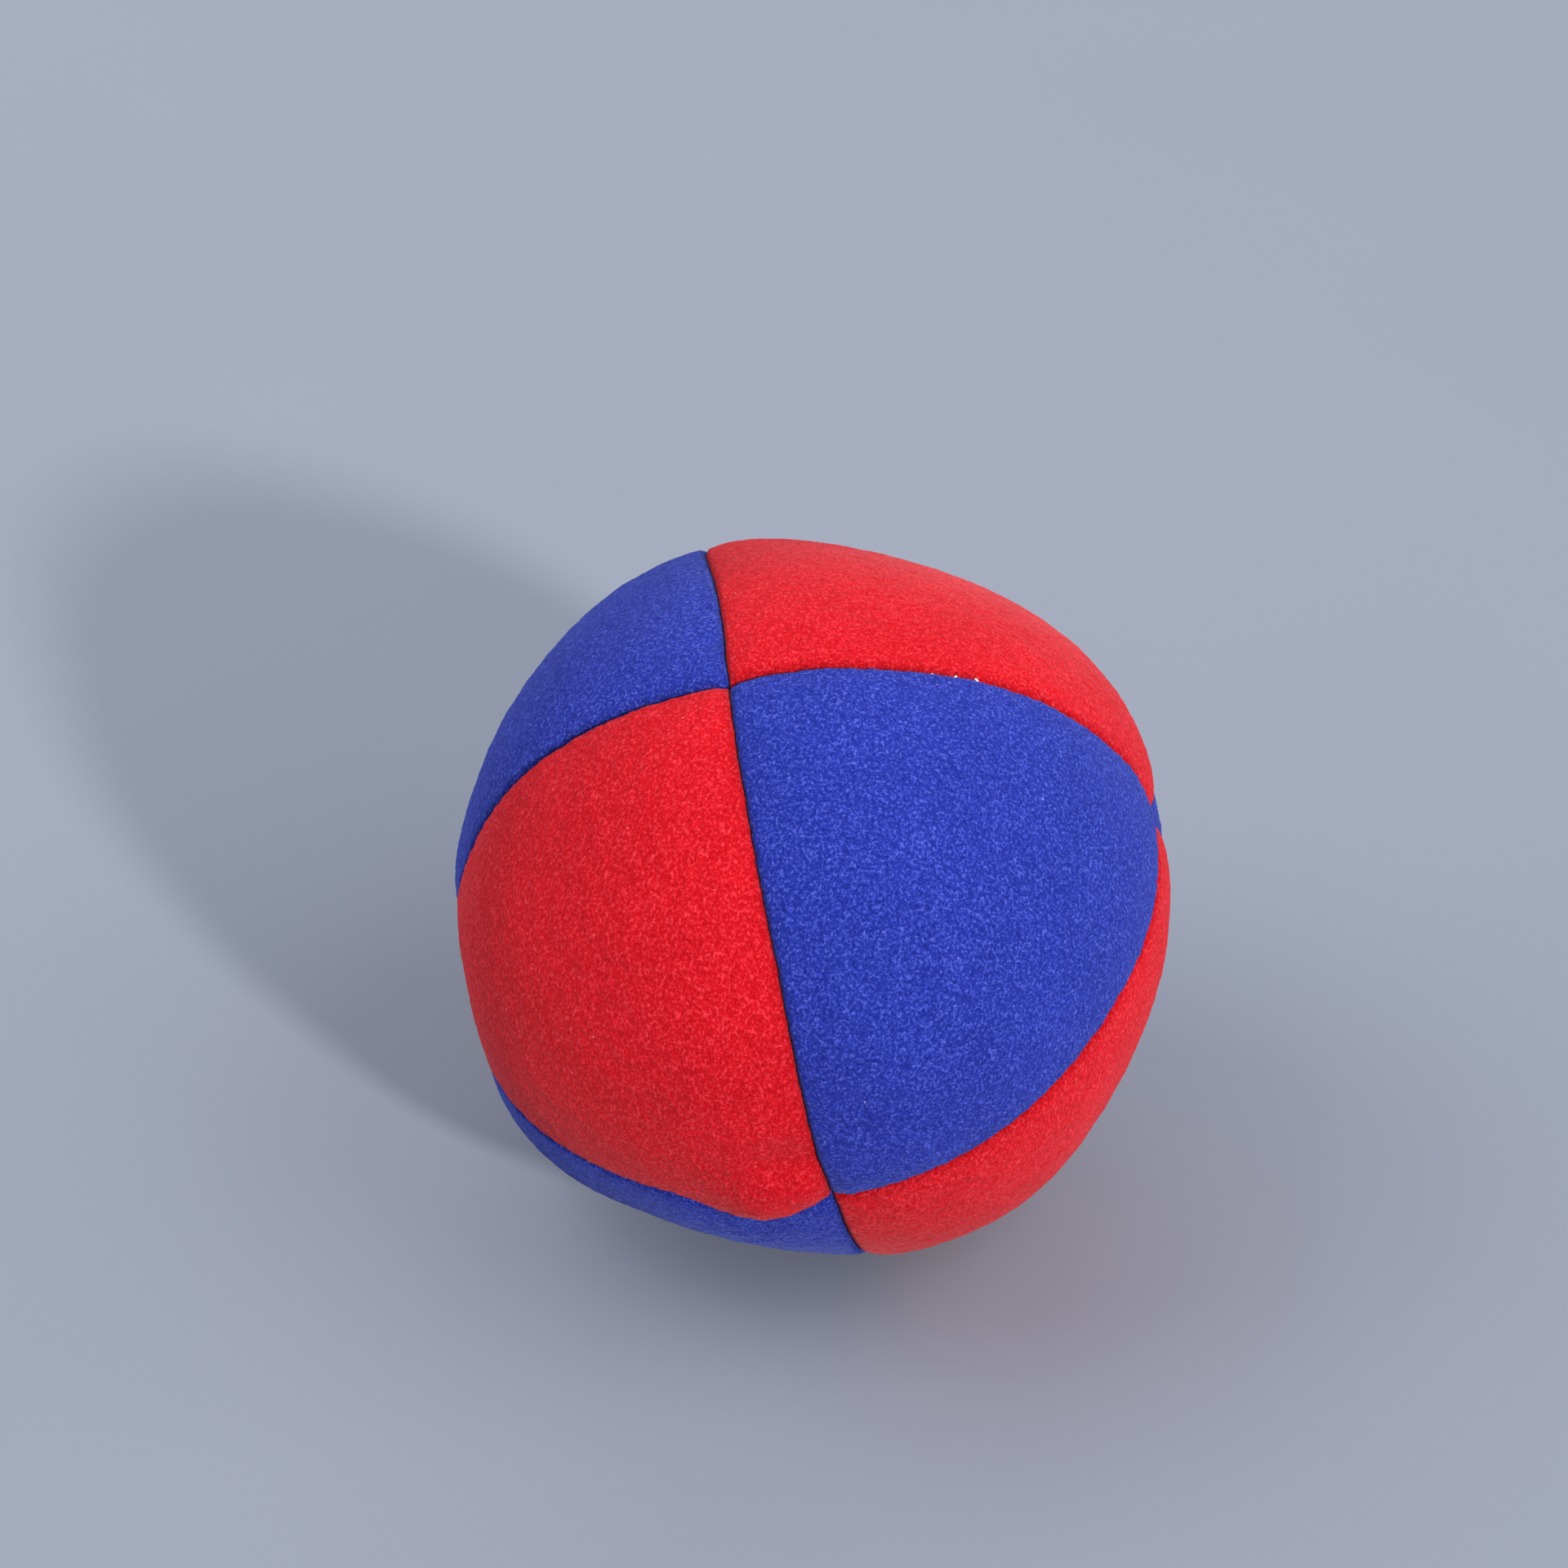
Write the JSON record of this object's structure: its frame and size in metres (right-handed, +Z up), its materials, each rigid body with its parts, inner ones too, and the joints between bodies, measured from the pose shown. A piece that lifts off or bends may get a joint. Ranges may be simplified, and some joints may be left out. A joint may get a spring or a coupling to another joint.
{
  "type": "juggling ball",
  "caption": "Sewn beanbag juggling ball of three-cornered velour panels, alternately red and blue, filled with loose grain.",
  "frame": {"origin": "middle of the flat spot that the filled ball rests on", "axes": "+Z up, -Y towards the front, where the upper front seam and the big blue panel face; the ball lies with its top corner tilted forwards and to the left"},
  "size_m": [0.065, 0.065, 0.063],
  "materials": {
    "red_velour": "short brushed pile, matt, with a soft sheen at grazing angles",
    "blue_velour": "short brushed pile, matt, with a soft sheen at grazing angles",
    "seam_thread": "dark twisted sewing thread, matt",
    "hand_thread": "pale twisted sewing thread, matt",
    "grain": "dry hulled grain, matt"
  },
  "bodies": {
    "root": {"blue_panel_upper_front_right": "blue_velour", "red_panel_upper_front_left": "red_velour", "red_panel_upper_back_right": "red_velour", "blue_panel_upper_back_left": "blue_velour", "red_panel_lower_front_right": "red_velour", "blue_panel_lower_front_left": "blue_velour", "blue_panel_lower_back_right": "blue_velour", "red_panel_lower_back_left": "red_velour", "stitching_front_upper": "seam_thread", "stitching_front_lower": "seam_thread", "stitching_back_upper": "seam_thread", "stitching_back_lower": "seam_thread", "stitching_front_long": "seam_thread", "stitching_back_long": "seam_thread", "stitching_middle": "seam_thread", "closing_thread": "hand_thread", "grain_filling": "grain"}
  },
  "joints": []
}
